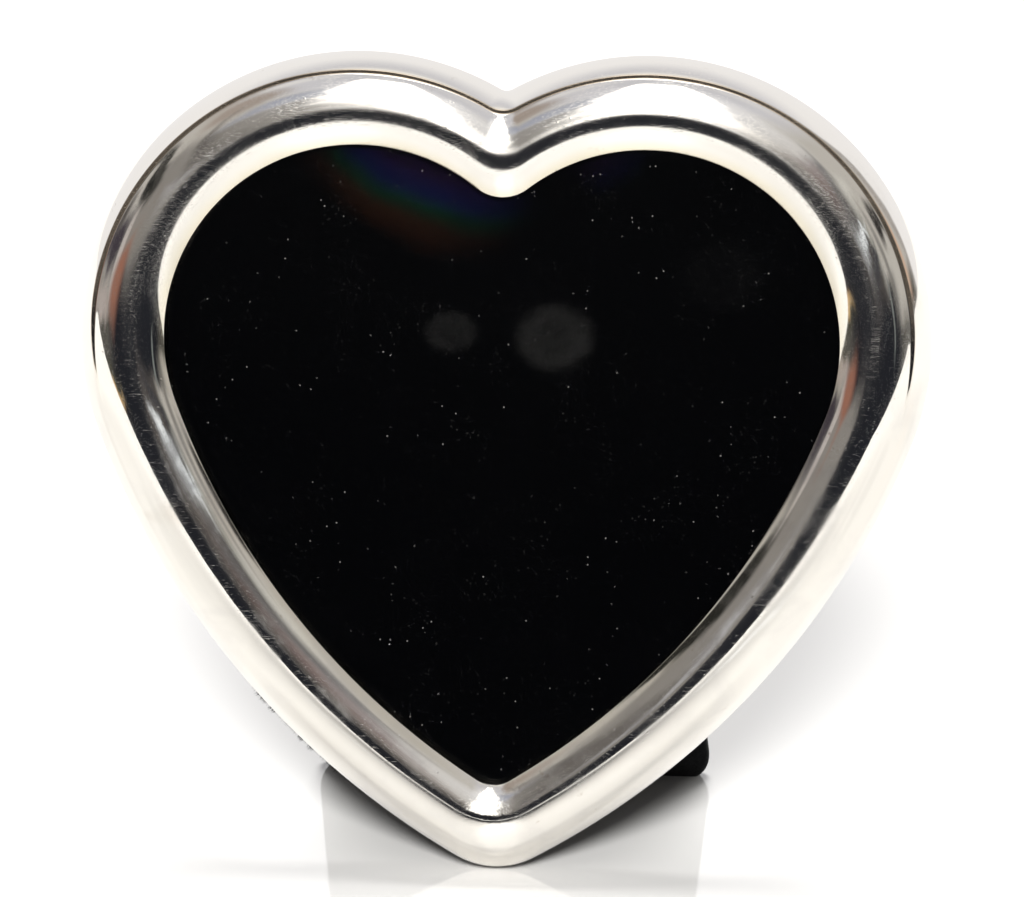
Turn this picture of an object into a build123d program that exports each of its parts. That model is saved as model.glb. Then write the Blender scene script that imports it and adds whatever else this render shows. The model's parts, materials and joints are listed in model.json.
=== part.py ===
"""A heart shaped photo frame in pressed silver, standing on its tip and a velvet strut.

The frame leans back. Everything that belongs to it is drawn on frame_plane, which lies in
the front of the aperture: x runs to the right, y up the frame, z towards the viewer.
The strut is drawn on strut_plane, whose origin is the hinge pin and whose y runs up the strut.
"""

import os
from math import acos, atan2, cos, degrees, radians, sin, sqrt, tan

from build123d import *

# Overall size and stance
overall_width = 150.0
lean_angle = 11.5  # degrees the frame leans back from upright
foot_distance = 45.0  # how far behind the tip the strut stands on the table

# Heart outline, measured on the edge of the aperture
lobe_radius = 33.7
lobe_drop_angle = 20.8  # degrees below its widest point where the lobe runs into the flank
flank_radius = 133.0
tip_radius = 5.3
notch_radius = 7.2
rim_tip_radius = 14.0
crest_notch_radius = 4.0
rim_notch_radius = 2.0
flank_narrowing = 4.0  # how much tighter than parallel the rim's flank is bent

# Pressed silver moulding, a section of three arcs and a short straight skirt
sheet = 0.5
lip_bend = 8.1
lip_slope = 50.0
shoulder_bend = 9.4
shoulder_slope = 48.0
skirt_bend = 11.5
skirt_slope = 78.0
skirt_fall = 1.4
return_width = 2.4
shoulder_steps = 4  # how many pieces each arc of the section is lofted in
skirt_steps = 3
lip_steps = 5

# Layers behind the aperture, front to back
ledge = 1.0
rebate_width = 5.0
glass_thickness = 1.5
card_thickness = 0.5
packing_thickness = 1.2
board_thickness = 2.7
velvet = 0.6
rim_velvet_cover = 0.7
rim_velvet_margin = 0.5
slip_fit = 0.4

# Strut
hinge_height = 89.0  # pin above the frame's tip, measured up the frame
strut_foot_width = 74.8
strut_top_width = 56.0
strut_corner_radius = 6.5
strut_thickness = 2.9
strut_velvet_thickness = 0.4
fold_gap = 0.3

# Hinge
leaf_thickness = 0.6
leaf_width = 30.0
leaf_length = 14.0
leaf_corner_radius = 2.0
knuckle_length = 10.0
pin_radius = 1.0
pin_clearance = 0.05
pin_head_radius = 1.5
pin_head_length = 0.6
part_gap = 0.3
stop_reach = 6.0
touch_gap = 0.05

# Rivets
rivet_radius = 1.0
rivet_head_radius = 2.2
rivet_head_height = 0.9
rivet_head_edge = 0.7
rivet_tail_radius = 2.0
rivet_tail_thickness = 0.4
rivet_spread = 10.5
rivet_near_row = 6.5
rivet_far_row = 11.0
hole_clearance = 0.05

# Turn buttons that hold the door in
button_eye_radius = 3.6
button_tip_radius = 2.2
button_reach = 8.5
button_thickness = 0.8
button_edge = 0.2
button_setback = 10.2  # pivot's distance outside the aperture's edge
lobe_button_angle = 55.0
flank_button_angle = -35.0
washer_radius = 3.2
washer_thickness = 0.3
screw_radius = 1.1
screw_head_radius = 2.6
screw_head_height = 1.1
screw_head_edge = 0.8
screw_slot_width = 0.6
screw_slot_depth = 0.5
screw_bite = 4.0

overrun = 1.0  # how far a cut runs past what it cuts

# Places on the moulding's section: out from the aperture, and height above its front edge
crest_out = lip_bend * sin(radians(lip_slope))
crest_height = lip_bend * (1 - cos(radians(lip_slope)))
shoulder_out = crest_out + shoulder_bend * sin(radians(shoulder_slope))
shoulder_height = crest_height - shoulder_bend * (1 - cos(radians(shoulder_slope)))
skirt_centre_out = shoulder_out - skirt_bend * sin(radians(shoulder_slope))
skirt_centre_height = shoulder_height - skirt_bend * cos(radians(shoulder_slope))
skirt_out = skirt_centre_out + skirt_bend * sin(radians(skirt_slope))
skirt_height = skirt_centre_height + skirt_bend * cos(radians(skirt_slope))
rim_out = skirt_out + skirt_fall / tan(radians(skirt_slope))
rim_height = skirt_height - skirt_fall
lip_centre_height = crest_height - lip_bend
lip_inner_bend = lip_bend - sheet
lip_inner_slope = degrees(acos(-lip_centre_height / lip_inner_bend))
throat_out = crest_out - lip_inner_bend * sin(radians(lip_inner_slope))

# Centres of the heart's arcs
lobe_centre_x = overall_width / 2 - rim_out - lobe_radius


def flank_centre(outset):
    """Radius and centre of the right flank's arc at this distance from the aperture."""
    radius = flank_radius + outset - flank_narrowing * outset / rim_out
    reach = radius - lobe_radius - outset
    drop = radians(lobe_drop_angle)
    return radius, lobe_centre_x - reach * cos(drop), reach * sin(drop)


def tip_radius_at(outset):
    return min(tip_radius + outset, rim_tip_radius)


def notch_radius_at(outset):
    if outset < crest_out:
        return notch_radius + (crest_notch_radius - notch_radius) * outset / crest_out
    share = (outset - crest_out) / (rim_out - crest_out)
    return crest_notch_radius + (rim_notch_radius - crest_notch_radius) * share


def tip_centre_y(outset):
    radius, centre_x, centre_y = flank_centre(outset)
    return centre_y - sqrt((radius - tip_radius_at(outset)) ** 2 - centre_x**2)


def heart_edges(outset):
    """The heart at this distance outside the aperture: notch, lobes, flanks and tip as arcs."""
    flank, flank_x, flank_y = flank_centre(outset)
    tip = tip_radius_at(outset)
    tip_middle_y = tip_centre_y(outset)
    notch = notch_radius_at(outset)
    lobe = lobe_radius + outset
    notch_y = sqrt((lobe + notch) ** 2 - lobe_centre_x**2)
    tip_turn = degrees(atan2(tip_middle_y - flank_y, -flank_x))
    notch_turn = degrees(atan2(notch_y, -lobe_centre_x))
    drop = lobe_drop_angle
    with BuildLine() as line:
        CenterArc((0, notch_y), notch, -notch_turn, 2 * notch_turn - 180)
        CenterArc((lobe_centre_x, 0), lobe, -drop, notch_turn + drop)
        CenterArc((flank_x, flank_y), flank, tip_turn, -drop - tip_turn)
        CenterArc((0, tip_middle_y), tip, -180 - tip_turn, 180 + 2 * tip_turn)
        CenterArc((-flank_x, flank_y), flank, 180 + drop, -drop - tip_turn)
        CenterArc((-lobe_centre_x, 0), lobe, 180 - notch_turn, notch_turn + drop)
    return line.edges()


# Stance: where the frame and the strut stand on the table
tip_y = tip_centre_y(rim_out) - rim_tip_radius
lean = radians(lean_angle)
door_back = -(ledge + glass_thickness + card_thickness + packing_thickness)
door_back -= board_thickness + velvet
velvet_back = rim_height - rim_velvet_cover
knuckle_radius = (door_back - velvet_back + fold_gap + strut_thickness + leaf_thickness) / 2
pin_y = tip_y + hinge_height
pin_z = door_back - knuckle_radius
pin_rise = hinge_height * cos(lean) + (pin_z - rim_height) * sin(lean)
pin_setback = hinge_height * sin(lean) - (pin_z - rim_height) * cos(lean)
strut_tilt = atan2(foot_distance - pin_setback, pin_rise)
open_angle = lean_angle + degrees(strut_tilt)
strut_front = velvet_back - fold_gap - pin_z
strut_back = strut_front - strut_thickness
strut_top = -knuckle_radius - part_gap
strut_length = pin_rise / cos(strut_tilt)

# The origin lies on the table, half way between the front of the tip and the back of the foot
front_slope_out = crest_out + shoulder_bend * sin(lean)
front_slope_height = crest_height - shoulder_bend * (1 - cos(lean))
front_y = tip_centre_y(front_slope_out) - tip_radius_at(front_slope_out)
front_reach = front_slope_height * cos(lean) - front_y * sin(lean)
tip_setback = tip_y * sin(lean) - rim_height * cos(lean)
back_reach = tip_setback + foot_distance - strut_back / cos(strut_tilt)
frame_origin_y = (front_reach - back_reach) / 2
frame_origin_z = -(tip_y * cos(lean) + rim_height * sin(lean))

frame_plane = Plane(
    origin=(0, frame_origin_y, frame_origin_z), x_dir=(1, 0, 0), z_dir=(0, -cos(lean), sin(lean))
)
strut_plane = Plane(
    origin=frame_plane.from_local_coords((0, pin_y, pin_z)),
    x_dir=(1, 0, 0),
    z_dir=(0, -cos(strut_tilt), -sin(strut_tilt)),
)

backwards = -frame_plane.z_dir


def section_levels(inset):
    """Places down the outside of the moulding, from the crest to the skirt, this far inside it."""
    levels = []
    bend = shoulder_bend - inset
    for step in range(shoulder_steps + 1):
        slope = radians(shoulder_slope * step / shoulder_steps)
        out = crest_out + bend * sin(slope)
        levels.append((out, crest_height - shoulder_bend + bend * cos(slope)))
    bend = skirt_bend - inset
    for step in range(1, skirt_steps + 1):
        slope = radians(shoulder_slope + (skirt_slope - shoulder_slope) * step / skirt_steps)
        out = skirt_centre_out + bend * sin(slope)
        levels.append((out, skirt_centre_height + bend * cos(slope)))
    return levels


def lip_levels(inset, last_slope):
    """Places down the inside of the moulding, from the crest to the aperture."""
    levels = []
    bend = lip_bend - inset
    for step in range(lip_steps + 1):
        slope = radians(last_slope * step / lip_steps)
        levels.append((crest_out - bend * sin(slope), lip_centre_height + bend * cos(slope)))
    return levels


def heart(height, outer, inner=None):
    """A flat heart at this height above the aperture's front, or a ring of it."""
    with BuildSketch(frame_plane.offset(height)) as sketch:
        make_face(heart_edges(outer))
        if inner is not None:
            make_face(heart_edges(inner), mode=Mode.SUBTRACT)
    return sketch.sketch


def hearts(levels):
    return [heart(height, out) for out, height in levels]


# Forms that the silver and its backing are cut from
inner_rim_height = rim_height + sheet
inner_rim_out = skirt_out + (skirt_height - inner_rim_height) / tan(radians(skirt_slope))
inner_rim_out -= sheet / sin(radians(skirt_slope))

with BuildPart() as outer_dome:
    loft(hearts([(rim_out, rim_height)] + section_levels(0)[::-1]))

with BuildPart() as inner_dome:
    loft(hearts([(inner_rim_out, inner_rim_height)] + section_levels(sheet)[::-1]))

with BuildPart() as outer_bowl:
    loft(hearts(lip_levels(0, lip_slope)))

with BuildPart() as inner_bowl:
    loft(hearts(lip_levels(sheet, lip_inner_slope)))

with BuildPart() as throat:
    extrude(heart(0, throat_out), amount=overrun - velvet_back, dir=backwards)

with BuildPart() as filled_ring:
    add(inner_dome.part)
    add(inner_bowl.part, mode=Mode.SUBTRACT)
    add(throat.part, mode=Mode.SUBTRACT)

# Front: one pressing of silver, its rim turned in behind the backing all round
with BuildPart() as silver_front:
    add(outer_dome.part)
    add(outer_bowl.part, mode=Mode.SUBTRACT)
    add(throat.part, mode=Mode.SUBTRACT)
    add(filled_ring.part, mode=Mode.SUBTRACT)
    return_hole = heart(inner_rim_height, rim_out - return_width)
    extrude(return_hole, amount=sheet + overrun, dir=backwards, mode=Mode.SUBTRACT)


# Places of the fasteners on the frame, the door and the strut
def button_places():
    """Each turn button's name, pivot and resting direction, clear of the door."""
    lobe_reach = lobe_radius + button_setback
    flank_reach, flank_x, flank_y = flank_centre(button_setback)
    arcs = [
        ("upper", lobe_reach, lobe_centre_x, 0, lobe_button_angle),
        ("lower", flank_reach, flank_x, flank_y, flank_button_angle),
    ]
    places = []
    for level, reach, centre_x, centre_y, angle in arcs:
        x = centre_x + reach * cos(radians(angle))
        y = centre_y + reach * sin(radians(angle))
        places.append((f"turn_button_{level}_right", x, y, angle - 90))
        places.append((f"turn_button_{level}_left", -x, y, 270 - angle))
    return places


buttons = button_places()
button_pivots = [(x, y) for name, x, y, turn in buttons]
door_rivets = [
    (-rivet_spread, pin_y + rivet_near_row),
    (rivet_spread, pin_y + rivet_near_row),
    (0, pin_y + rivet_far_row),
]
strut_rivets = [(-rivet_spread, -rivet_near_row), (rivet_spread, -rivet_near_row), (0, -rivet_far_row)]
rivet_hole = rivet_radius + hole_clearance
screw_hole = screw_radius + hole_clearance
button_front = velvet_back - washer_thickness - touch_gap
screw_seat = button_front - button_thickness - touch_gap


def discs(plane, places, radius):
    with BuildSketch(plane) as sketch:
        with Locations(*places):
            Circle(radius)
    return sketch.sketch


# Backing: the ring of board that fills the pressing and holds the glass
with BuildPart() as backing_ring:
    add(filled_ring.part)
    rebate_depth = overrun - velvet_back
    extrude(heart(-ledge, rebate_width), amount=rebate_depth, dir=backwards, mode=Mode.SUBTRACT)
    screw_mouth = discs(frame_plane.offset(inner_rim_height), button_pivots, screw_hole)
    extrude(screw_mouth, amount=screw_bite + part_gap, dir=-backwards, mode=Mode.SUBTRACT)

# Glass, the black card behind it and the packing that presses both against the ledge
stack_out = rebate_width - slip_fit
with BuildPart() as glass_pane:
    extrude(heart(-ledge, stack_out), amount=glass_thickness, dir=backwards)

card_front = -ledge - glass_thickness
with BuildPart() as insert_card:
    extrude(heart(card_front, stack_out), amount=card_thickness, dir=backwards)

packing_front = card_front - card_thickness
with BuildPart() as packing_board:
    extrude(heart(packing_front, stack_out), amount=packing_thickness, dir=backwards)

# Door: a board with velvet on its back, and the strut's hinge riveted through both
board_front = packing_front - packing_thickness
with BuildPart() as back_board:
    extrude(heart(board_front, stack_out), amount=board_thickness, dir=backwards)
    shanks = discs(frame_plane.offset(board_front), door_rivets, rivet_hole)
    extrude(shanks, amount=board_thickness, dir=backwards, mode=Mode.SUBTRACT)
    tails = discs(frame_plane.offset(board_front), door_rivets, rivet_tail_radius + hole_clearance)
    extrude(tails, amount=rivet_tail_thickness, dir=backwards, mode=Mode.SUBTRACT)

with BuildPart() as back_velvet:
    extrude(heart(door_back + velvet, stack_out), amount=velvet, dir=backwards)
    shanks = discs(frame_plane.offset(door_back + velvet), door_rivets, rivet_hole)
    extrude(shanks, amount=velvet, dir=backwards, mode=Mode.SUBTRACT)

# Velvet on the back of the backing, over the silver's turned-in edge
with BuildPart() as rim_velvet:
    cover = heart(rim_height, rim_out - rim_velvet_margin, rebate_width)
    extrude(cover, amount=rim_velvet_cover, dir=backwards)
    filling = heart(inner_rim_height, rim_out - return_width - part_gap, rebate_width)
    extrude(filling, amount=sheet, dir=backwards)
    screw_mouth = discs(frame_plane.offset(inner_rim_height), button_pivots, screw_hole)
    extrude(screw_mouth, amount=sheet + rim_velvet_cover, dir=backwards, mode=Mode.SUBTRACT)


# Hinge
def pin_plane(x):
    """A plane across the hinge pin, this far to the right of the frame's middle."""
    return Plane(origin=strut_plane.origin + Vector(x, 0, 0), x_dir=(0, 1, 0), z_dir=(1, 0, 0))


def disc_on_pin(x, radius):
    with BuildSketch(pin_plane(x)) as sketch:
        Circle(radius)
    return sketch.sketch


pin_bore = pin_radius + pin_clearance
outer_knuckle_start = knuckle_length / 2 + part_gap
outer_knuckle_length = leaf_width / 2 - outer_knuckle_start
leaf_clear = knuckle_radius + part_gap
along_pin = (1, 0, 0)

with BuildPart() as hinge_door_leaf:
    with BuildSketch(frame_plane.offset(door_back)):
        with Locations((0, pin_y + leaf_length / 2)):
            plate = Rectangle(leaf_width, leaf_length)
        fillet(plate.vertices().group_by(Axis.Y)[-1], leaf_corner_radius)
        with Locations((0, pin_y)):
            Rectangle(2 * outer_knuckle_start, 2 * leaf_clear, mode=Mode.SUBTRACT)
        with Locations(*door_rivets):
            Circle(rivet_hole, mode=Mode.SUBTRACT)
    extrude(amount=-leaf_thickness)
    for start in (-leaf_width / 2, outer_knuckle_start):
        extrude(disc_on_pin(start, knuckle_radius), amount=outer_knuckle_length, dir=along_pin)
    bore = disc_on_pin(-leaf_width / 2, pin_bore)
    extrude(bore, amount=leaf_width, dir=along_pin, mode=Mode.SUBTRACT)

with BuildPart() as hinge_strut_leaf:
    with BuildSketch(strut_plane.offset(strut_back)):
        with Locations((0, -leaf_length / 2)):
            plate = Rectangle(leaf_width, leaf_length)
        fillet(plate.vertices().group_by(Axis.Y)[0], leaf_corner_radius)
        for side in (-1, 1):
            with Locations((side * (knuckle_length + leaf_width) / 2, 0)):
                Rectangle(leaf_width, 2 * leaf_clear, mode=Mode.SUBTRACT)
        with Locations(*strut_rivets):
            Circle(rivet_hole, mode=Mode.SUBTRACT)
    extrude(amount=-leaf_thickness)
    middle_knuckle = disc_on_pin(-knuckle_length / 2, knuckle_radius - touch_gap)
    extrude(middle_knuckle, amount=knuckle_length, dir=along_pin)
    with BuildSketch(frame_plane.offset(door_back - leaf_thickness - touch_gap)):
        with Locations((0, pin_y + stop_reach / 2)):
            Rectangle(knuckle_length, stop_reach)
    extrude(amount=-leaf_thickness)
    bore = disc_on_pin(-knuckle_length / 2 - overrun, pin_bore)
    extrude(bore, amount=knuckle_length + 2 * overrun, dir=along_pin, mode=Mode.SUBTRACT)

with BuildPart() as hinge_pin:
    extrude(disc_on_pin(-leaf_width / 2, pin_radius), amount=leaf_width, dir=along_pin)
    extrude(disc_on_pin(leaf_width / 2, pin_head_radius), amount=pin_head_length, dir=along_pin)
    left_head = disc_on_pin(-leaf_width / 2 - pin_head_length, pin_head_radius)
    extrude(left_head, amount=pin_head_length, dir=along_pin)


# Fasteners: each is drawn upright, its head below the plane it seats on
def rivet(stack):
    """A domed rivet through this thickness, spread into a flat tail at the far face."""
    with BuildPart() as one:
        with BuildSketch():
            Circle(rivet_head_radius)
        extrude(amount=-rivet_head_height)
        fillet(one.faces().sort_by(Axis.Z)[0].edges(), rivet_head_edge)
        with BuildSketch():
            Circle(rivet_radius)
        extrude(amount=stack)
        with BuildSketch(Plane.XY.offset(stack - rivet_tail_thickness)):
            Circle(rivet_tail_radius)
        extrude(amount=rivet_tail_thickness)
    return one.part


def slotted_screw(grip):
    """A round-headed screw with a slot, and this much shank under its head."""
    with BuildPart() as one:
        with BuildSketch():
            Circle(screw_head_radius)
        extrude(amount=-screw_head_height)
        fillet(one.faces().sort_by(Axis.Z)[0].edges(), screw_head_edge)
        with BuildSketch(Plane.XY.offset(-screw_head_height)):
            Rectangle(2 * screw_head_radius, screw_slot_width)
        extrude(amount=screw_slot_depth, mode=Mode.SUBTRACT)
        with BuildSketch():
            Circle(screw_radius)
        extrude(amount=grip)
    return one.part


door_rivet = rivet(leaf_thickness + velvet + board_thickness)
with BuildPart(frame_plane.offset(door_back - leaf_thickness)) as hinge_door_rivets:
    with Locations(*door_rivets):
        add(door_rivet)

strut_rivet = rivet(leaf_thickness + strut_thickness)
with BuildPart(strut_plane.offset(-knuckle_radius)) as hinge_strut_rivets:
    with Locations(*strut_rivets):
        add(strut_rivet)

button_screw = slotted_screw(inner_rim_height + screw_bite - screw_seat)
with BuildPart(frame_plane.offset(screw_seat)) as turn_button_screws:
    with Locations(*button_pivots):
        add(button_screw)

with BuildPart() as turn_button_washers:
    with BuildSketch(frame_plane.offset(velvet_back)):
        with Locations(*button_pivots):
            Circle(washer_radius)
            Circle(screw_hole, mode=Mode.SUBTRACT)
    extrude(amount=-washer_thickness)


# Strut: a board sleeved in velvet, cut off level with the table
def strut_panel(inset):
    """The strut's outline, this far inside its velvet, at its back face."""
    foot_y = -strut_length + strut_back * tan(strut_tilt)
    corners = [
        (-strut_top_width / 2, strut_top),
        (strut_top_width / 2, strut_top),
        (strut_foot_width / 2, foot_y),
        (-strut_foot_width / 2, foot_y),
    ]
    with BuildSketch(strut_plane.offset(strut_back + inset)) as sketch:
        with BuildLine():
            Polyline(*corners, close=True)
        make_face()
        fillet(sketch.vertices().group_by(Axis.Y)[0], strut_corner_radius)
        if inset > 0:
            offset(amount=-inset, mode=Mode.REPLACE)
    return sketch.sketch


forwards = strut_plane.z_dir
strut_board_back = strut_plane.offset(strut_back + strut_velvet_thickness)
strut_board_thickness = strut_thickness - 2 * strut_velvet_thickness

with BuildPart() as plain_board:
    extrude(strut_panel(strut_velvet_thickness), amount=strut_board_thickness, dir=forwards)
    split(bisect_by=Plane.XY.offset(strut_velvet_thickness), keep=Keep.TOP)

with BuildPart() as strut_board:
    add(plain_board.part)
    shanks = discs(strut_board_back, strut_rivets, rivet_hole)
    extrude(shanks, amount=strut_board_thickness, dir=forwards, mode=Mode.SUBTRACT)

with BuildPart() as strut_velvet:
    extrude(strut_panel(0), amount=strut_thickness, dir=forwards)
    split(bisect_by=Plane.XY, keep=Keep.TOP)
    add(plain_board.part, mode=Mode.SUBTRACT)
    shanks = discs(strut_plane.offset(strut_back), strut_rivets, rivet_hole)
    extrude(shanks, amount=strut_thickness, dir=forwards, mode=Mode.SUBTRACT)
    tail_depth = strut_front - rivet_tail_thickness
    tails = discs(strut_plane.offset(tail_depth), strut_rivets, rivet_tail_radius + hole_clearance)
    extrude(tails, amount=rivet_tail_thickness, dir=forwards, mode=Mode.SUBTRACT)

pieces = {
    "silver_front": silver_front,
    "backing_ring": backing_ring,
    "rim_velvet": rim_velvet,
    "glass_pane": glass_pane,
    "insert_card": insert_card,
    "packing_board": packing_board,
    "turn_button_screws": turn_button_screws,
    "turn_button_washers": turn_button_washers,
    "back_board": back_board,
    "back_velvet": back_velvet,
    "hinge_door_leaf": hinge_door_leaf,
    "hinge_door_rivets": hinge_door_rivets,
    "hinge_pin": hinge_pin,
    "hinge_strut_leaf": hinge_strut_leaf,
    "hinge_strut_rivets": hinge_strut_rivets,
    "strut_board": strut_board,
    "strut_velvet": strut_velvet,
}

# Turn buttons, at rest along the rim so that the door is free
for name, x, y, turn in buttons:
    along = frame_plane.x_dir * cos(radians(turn)) + frame_plane.y_dir * sin(radians(turn))
    pivot = frame_plane.from_local_coords((x, y, button_front))
    with BuildPart() as turn_button:
        with BuildSketch(Plane(origin=pivot, x_dir=along, z_dir=frame_plane.z_dir)):
            Circle(button_eye_radius)
            with Locations((button_reach, 0)):
                Circle(button_tip_radius)
            make_hull()
            Circle(screw_hole, mode=Mode.SUBTRACT)
        extrude(amount=-button_thickness)
        back = turn_button.faces().sort_by(Axis((0, 0, 0), frame_plane.z_dir))[0]
        chamfer(back.outer_wire().edges(), button_edge)
    pieces[name] = turn_button
    print(name, "turns at", pivot)

os.makedirs("parts", exist_ok=True)
for name, piece in pieces.items():
    piece.part.label = name
    export_step(piece.part, f"parts/{name}.step")

foot_middle = (strut_front + strut_back) / 2
foot_y = foot_middle * tan(strut_tilt) - strut_length
print("strut opens", round(open_angle, 3), "degrees; hinge pin at", strut_plane.origin)
print("frame faces", frame_plane.z_dir)
print("foot stands at", strut_plane.from_local_coords((0, foot_y, foot_middle)))
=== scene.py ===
# %% [markdown]
# # A heart shaped photo frame in polished silver
# The frame stands on a white table, leaning back on a velvet strut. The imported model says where
# every piece is and how it moves. This script gives each piece its surface, and models again what
# shows most: the silver moulding, the glass and its card, and the velvets.

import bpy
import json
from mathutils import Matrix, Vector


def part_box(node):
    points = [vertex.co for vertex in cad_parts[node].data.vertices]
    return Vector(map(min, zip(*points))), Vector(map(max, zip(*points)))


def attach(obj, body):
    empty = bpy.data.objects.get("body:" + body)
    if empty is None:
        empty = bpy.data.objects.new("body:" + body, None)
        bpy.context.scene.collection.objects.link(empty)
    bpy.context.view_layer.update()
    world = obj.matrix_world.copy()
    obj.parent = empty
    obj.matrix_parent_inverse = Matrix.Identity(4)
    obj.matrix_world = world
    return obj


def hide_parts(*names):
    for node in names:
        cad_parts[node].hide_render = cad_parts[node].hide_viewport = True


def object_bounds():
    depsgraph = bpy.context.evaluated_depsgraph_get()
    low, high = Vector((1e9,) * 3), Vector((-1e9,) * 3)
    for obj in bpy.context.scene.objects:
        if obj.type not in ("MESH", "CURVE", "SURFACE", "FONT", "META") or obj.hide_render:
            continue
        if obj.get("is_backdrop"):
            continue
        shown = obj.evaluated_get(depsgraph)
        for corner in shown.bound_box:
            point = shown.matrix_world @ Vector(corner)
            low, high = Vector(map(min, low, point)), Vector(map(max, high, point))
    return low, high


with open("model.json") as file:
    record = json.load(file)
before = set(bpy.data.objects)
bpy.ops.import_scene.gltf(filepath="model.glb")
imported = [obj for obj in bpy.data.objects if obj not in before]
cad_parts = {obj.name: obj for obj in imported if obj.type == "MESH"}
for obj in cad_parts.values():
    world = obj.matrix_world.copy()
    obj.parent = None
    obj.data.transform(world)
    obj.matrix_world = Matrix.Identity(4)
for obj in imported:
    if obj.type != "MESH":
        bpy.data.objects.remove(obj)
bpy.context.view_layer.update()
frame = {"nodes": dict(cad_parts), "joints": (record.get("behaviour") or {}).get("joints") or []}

# %% The other modules
import json
import random
from math import atan2, cos, degrees, pi, radians, sin, sqrt

import bmesh
import bpy
from mathutils import Matrix, Vector

scene = bpy.context.scene
scene.view_settings.view_transform = "Standard"

# %% [markdown]
# ## Shader nodes as expressions
# A material is a graph of nodes. Placing and linking them one by one hides what they work out, so
# a small class stands for the output of a node: sums and products of it add Math nodes, and its
# node method makes any other kind.

# %% A wire between shader nodes
class Wire:
    """An output in a node tree that can be used in sums like a number."""

    def __init__(self, tree, socket=None):
        self.tree = tree
        self.socket = socket

    def node(self, kind, settings=None, inputs=None, output=0):
        """Add a node, set its options, then its sockets, and return one of its outputs."""
        made = self.tree.nodes.new("ShaderNode" + kind)
        for name, value in (settings or {}).items():
            if name == "stops":
                set_stops(made.color_ramp, value)
            else:
                setattr(made, name, value)
        for key, value in (inputs or {}).items():
            if isinstance(value, Wire):
                self.tree.links.new(value.socket, made.inputs[key])
            else:
                made.inputs[key].default_value = value
        return Wire(self.tree, made.outputs[output])

    def maths(self, operation, *values):
        return self.node("Math", {"operation": operation}, dict(enumerate(values)))

    def __add__(self, other):
        return self.maths("ADD", self, other)

    def __radd__(self, other):
        return self.maths("ADD", other, self)

    def __sub__(self, other):
        return self.maths("SUBTRACT", self, other)

    def __rsub__(self, other):
        return self.maths("SUBTRACT", other, self)

    def __mul__(self, other):
        return self.maths("MULTIPLY", self, other)

    def __truediv__(self, other):
        return self.maths("DIVIDE", self, other)

    def __pow__(self, other):
        return self.maths("POWER", self, other)

    def __abs__(self):
        return self.maths("ABSOLUTE", self)


def set_stops(ramp, stops):
    """Give a colour ramp these (place, colour) stops."""
    while len(ramp.elements) < len(stops):
        ramp.elements.new(0.5)
    for element, (place, colour) in zip(ramp.elements, stops):
        element.position = place
        element.color = (*colour, 1)


# %% [markdown]
# ## Short cuts for what every material needs
# A few forms come back often: masks with soft ends, a mix of two colours, a bump, a noise, and
# coordinates turned for a pattern with a direction. Each gets one function.

# %% Masks, mixes and bumps
def step(value, low, high):
    """A mask that rises smoothly from 0 to 1 as value goes from low to high."""
    settings = {"interpolation_type": "SMOOTHSTEP"}
    return value.node("MapRange", settings, {0: value, 1: low, 2: high, 3: 0.0, 4: 1.0})


def band(value, low, high, blur):
    """1 between low and high, fading over blur at each end."""
    half = blur / 2
    rising = step(value, low - half, low + half)
    return rising * (1 - step(value, high - half, high + half))


def mix(mask, first, second):
    """first where the mask is 0 and second where it is 1; both are colours."""
    sides = [side if isinstance(side, Wire) else (*side, 1) for side in (first, second)]
    inputs = {0: mask, 6: sides[0], 7: sides[1]}
    return mask.node("Mix", {"data_type": "RGBA"}, inputs, 2)


def bump(height, distance, strength=1.0, normal=None):
    inputs = {"Height": height, "Distance": distance, "Strength": strength}
    if normal is not None:
        inputs["Normal"] = normal
    return height.node("Bump", {}, inputs)


def noise(coords, scale, detail=2.0, roughness=0.5, distortion=0.0):
    inputs = {
        "Vector": coords,
        "Scale": scale,
        "Detail": detail,
        "Roughness": roughness,
        "Distortion": distortion,
    }
    return coords.node("TexNoise", {}, inputs)


def turned(coords, turn=(0, 0, 0), stretch=(1, 1, 1), place=(0, 0, 0)):
    """Coordinates moved, then turned and stretched, for a pattern with a direction."""
    moved = coords.node("VectorMath", {"operation": "SUBTRACT"}, {0: coords, 1: place})
    return coords.node("Mapping", {}, {"Vector": moved, "Rotation": turn, "Scale": stretch})


def material(name):
    """A new material; returns it, its Principled shader's node and a wire of object coordinates."""
    made = bpy.data.materials.new(name)
    made.use_nodes = True
    shader = made.node_tree.nodes["Principled BSDF"]
    coords = Wire(made.node_tree).node("TexCoord", output="Object")
    print("finish:", name)
    return made, shader, coords


def plug(shader, **sockets):
    """Set or link sockets of a shader; Base_Color stands for Base Color."""
    for name, value in sockets.items():
        socket = shader.inputs[name.replace("_", " ")]
        if isinstance(value, Wire):
            value.tree.links.new(value.socket, socket)
        elif hasattr(value, "__len__") and len(value) == 3 and len(socket.default_value) == 4:
            socket.default_value = (*value, 1)
        else:
            socket.default_value = value


def mirrored_rays(wire):
    """1 for the rays that silver, gloss or glass sends on, and 0 for the others."""
    glossy = wire.node("LightPath", output="Is Glossy Ray")
    return glossy + wire.node("LightPath", output="Is Transmission Ray")


# %% [markdown]
# ## The plane that the frame is drawn on
# The heart is drawn flat, as a silversmith would on the bench, and then leaned back into its place.
# The lean comes from the door's joint, which slides straight back out of the frame.

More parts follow.
